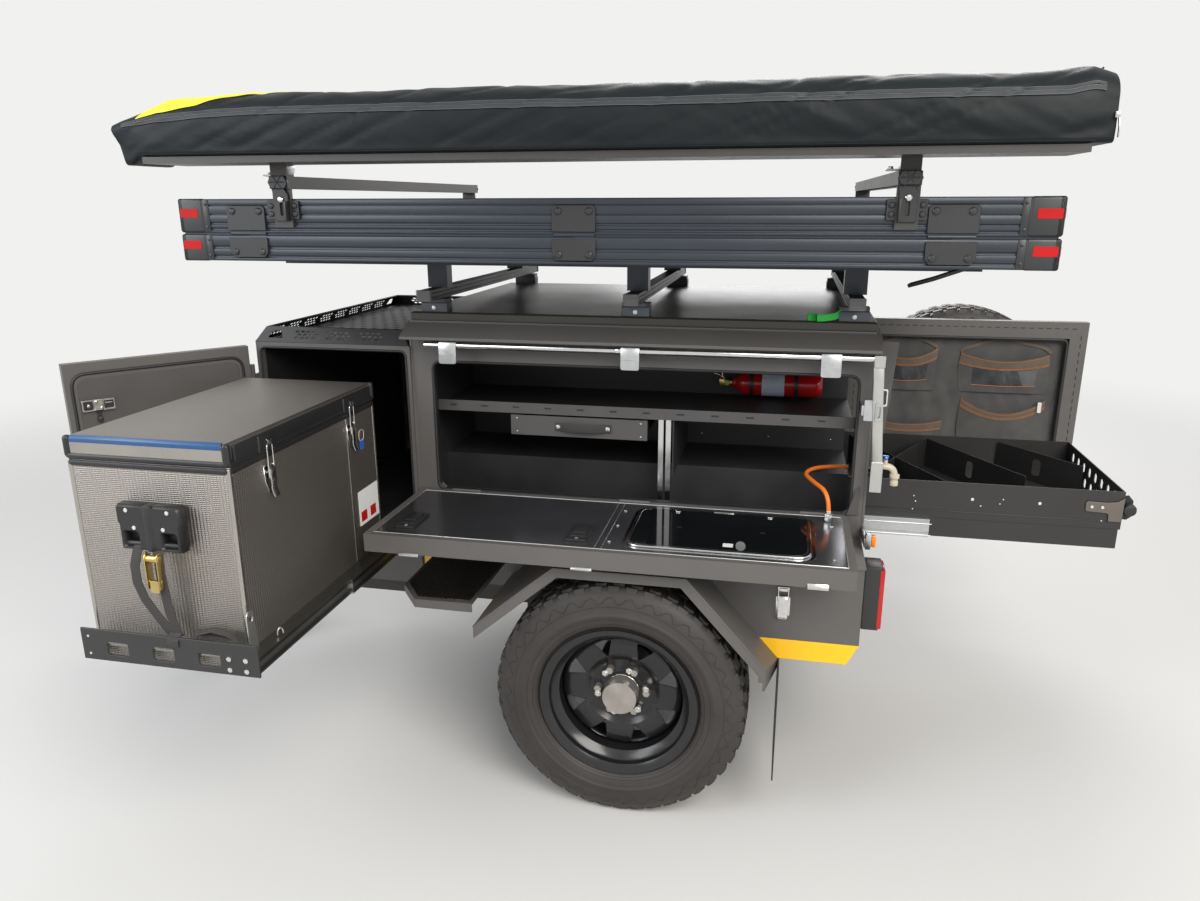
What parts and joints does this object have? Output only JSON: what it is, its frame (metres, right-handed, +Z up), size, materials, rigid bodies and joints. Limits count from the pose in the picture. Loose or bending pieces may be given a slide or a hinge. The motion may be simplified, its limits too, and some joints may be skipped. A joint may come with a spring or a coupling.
{
  "type": "camping trailer",
  "caption": "Compact off-road camping trailer in camp: side kitchen hatch down, fridge on its slide, rear drawer and door open, roof tent and awning above.",
  "frame": {"origin": "centre of the ball that the coupling takes, on the trailer's middle plane", "axes": "+X runs level from the coupling to the rear, +Y to the trailer's right, +Z up"},
  "size_m": [3.454, 2.1935, 1.94],
  "materials": {
    "charcoal": "satin fine-texture powder coat",
    "black_steel": "satin",
    "galvanised": "zinc plated",
    "stainless": "brushed",
    "rim_black": "gloss",
    "tyre_rubber": "matt",
    "rubber": "matt",
    "black_plastic": "matt",
    "tent_profile": "anodised",
    "bar_aluminium": "black anodised",
    "canvas": "woven",
    "bag_pvc": "gloss coated",
    "foam": "quilted",
    "glass_black": "gloss",
    "red_paint": "gloss",
    "lamp_red": "gloss"
  },
  "bodies": {
    "chassis": {"chassis_frame": "black_steel", "coupler": "galvanised", "axle": "black_steel", "leaf_springs": "black_steel", "jockey_sleeve": "galvanised", "floor_pan": "black_steel", "side_wall_left": "charcoal", "side_wall_right": "charcoal", "end_walls": "charcoal", "roof_hood": "charcoal", "roof_plate": "black_steel", "side_pods": "charcoal", "mudguards": "charcoal", "side_steps": "charcoal", "mud_flaps": "rubber", "tail_lamps": "lamp_red", "nose_box": "charcoal", "nose_tray": "charcoal", "kitchen_walls": "black_steel", "kitchen_shelf": "black_steel", "table_posts": "stainless", "hanging_rail": "black_steel", "fire_extinguisher": "red_paint", "slide_rails_fixed": "galvanised", "roof_bars": "bar_aluminium", "tent_base": "tent_profile", "tent_mattress": "foam", "gas_hose": "rubber"},
    "wheel_left": {"tyre_left": "tyre_rubber", "rim_left": "rim_black", "hub_left": "black_steel"},
    "wheel_right": {"tyre_right": "tyre_rubber", "rim_right": "rim_black", "hub_right": "black_steel"},
    "jockey_leg": {"jockey_leg": "galvanised"},
    "jockey_caster": {"jockey_fork": "galvanised"},
    "jockey_wheel": {"jockey_wheel": "rubber"},
    "kitchen_hatch": {"hatch_left": "charcoal", "worktop": "stainless"},
    "hob_lid": {"hob_lid": "glass_black"},
    "right_hatch": {"hatch_right": "charcoal"},
    "nose_door_left": {"nose_door_left": "charcoal"},
    "nose_door_right": {"nose_door_right": "charcoal"},
    "fridge_slide_middle": {"fridge_rails_middle": "galvanised"},
    "fridge": {"fridge_tray": "galvanised", "fridge_body": "stainless", "fridge_handle": "black_plastic"},
    "fridge_lid": {"fridge_lid": "black_plastic"},
    "rear_door": {"rear_door": "charcoal", "door_pockets": "canvas", "spare_tyre": "tyre_rubber", "spare_rim": "rim_black"},
    "drawer_slide_middle": {"drawer_rails_middle": "galvanised"},
    "rear_drawer": {"rear_drawer": "black_steel"},
    "cutlery_drawer": {"cutlery_drawer": "black_steel"},
    "tent_lid": {"tent_lid": "tent_profile", "top_bars": "bar_aluminium", "awning_bag": "bag_pvc"}
  },
  "joints": [
    {"name": "wheel_left_spin", "type": "hinge", "parent": "chassis", "child": "wheel_left", "pos_m": [1.95, -0.722, -0.177], "axis": [0, 1, 0], "continuous": true},
    {"name": "wheel_right_spin", "type": "hinge", "parent": "chassis", "child": "wheel_right", "pos_m": [1.95, 0.722, -0.177], "axis": [0, 1, 0], "continuous": true},
    {"name": "jockey_crank", "type": "slide", "parent": "chassis", "child": "jockey_leg", "axis": [0, 0, 1], "range_m": [0, 0.12]},
    {"name": "jockey_swivel", "type": "hinge", "parent": "jockey_leg", "child": "jockey_caster", "pos_m": [0.4, -0.092, -0.295], "axis": [0, 0, 1], "continuous": true},
    {"name": "jockey_roll", "type": "hinge", "parent": "jockey_caster", "child": "jockey_wheel", "pos_m": [0.355, -0.092, -0.43], "axis": [0, 1, 0], "continuous": true},
    {"name": "kitchen_hatch_hinge", "type": "hinge", "parent": "chassis", "child": "kitchen_hatch", "pos_m": [1.9105, -0.495, 0.3], "axis": [1, 0, 0], "range_deg": [-90, 0], "deforming": ["gas_hose"]},
    {"name": "hob_lid_hinge", "type": "hinge", "parent": "kitchen_hatch", "child": "hob_lid", "pos_m": [2.206, -0.55, 0.3003], "axis": [-1, 0, 0], "range_deg": [0, 85]},
    {"name": "right_hatch_hinge", "type": "hinge", "parent": "chassis", "child": "right_hatch", "pos_m": [1.9105, 0.495, 0.3], "axis": [-1, 0, 0], "range_deg": [0, 90]},
    {"name": "nose_door_left_hinge", "type": "hinge", "parent": "chassis", "child": "nose_door_left", "pos_m": [0.747, -0.52, 0.421], "axis": [0, 0, -1], "range_deg": [-36, 37]},
    {"name": "nose_door_right_hinge", "type": "hinge", "parent": "chassis", "child": "nose_door_right", "pos_m": [0.747, 0.52, 0.421], "axis": [0, 0, 1], "range_deg": [0, 120]},
    {"name": "fridge_slide", "type": "slide", "parent": "chassis", "child": "fridge", "axis": [0, -1, 0], "range_m": [-0.85, 0]},
    {"name": "fridge_middle_slide", "type": "slide", "parent": "chassis", "child": "fridge_slide_middle", "axis": [0, -1, 0], "range_m": [-0.425, 0]},
    {"name": "fridge_lid_hinge", "type": "hinge", "parent": "fridge", "child": "fridge_lid", "pos_m": [0.78, -0.965, 0.6003], "axis": [0, -1, 0], "range_deg": [0, 55]},
    {"name": "rear_door_hinge", "type": "hinge", "parent": "chassis", "child": "rear_door", "pos_m": [2.565, 0.52, 0.398], "axis": [0, 0, 1], "range_deg": [-90, 0]},
    {"name": "rear_drawer_slide", "type": "slide", "parent": "chassis", "child": "rear_drawer", "axis": [1, 0, 0], "range_m": [-0.975, 0]},
    {"name": "drawer_middle_slide", "type": "slide", "parent": "chassis", "child": "drawer_slide_middle", "axis": [1, 0, 0], "range_m": [-0.4876, 0]},
    {"name": "cutlery_drawer_slide", "type": "slide", "parent": "chassis", "child": "cutlery_drawer", "axis": [0, -1, 0], "range_m": [0, 0.25]},
    {"name": "tent_lid_hinge", "type": "hinge", "parent": "chassis", "child": "tent_lid", "pos_m": [1.8475, -0.8, 1.0743], "axis": [1, 0, 0], "range_deg": [0, 33]}
  ],
  "couplings": [
    {"joint": "fridge_middle_slide", "follows": "fridge_slide", "ratio": 0.5},
    {"joint": "rear_drawer_slide", "follows": "rear_door_hinge", "m_per_rad": 0.6207},
    {"joint": "drawer_middle_slide", "follows": "rear_door_hinge", "m_per_rad": 0.31035}
  ]
}
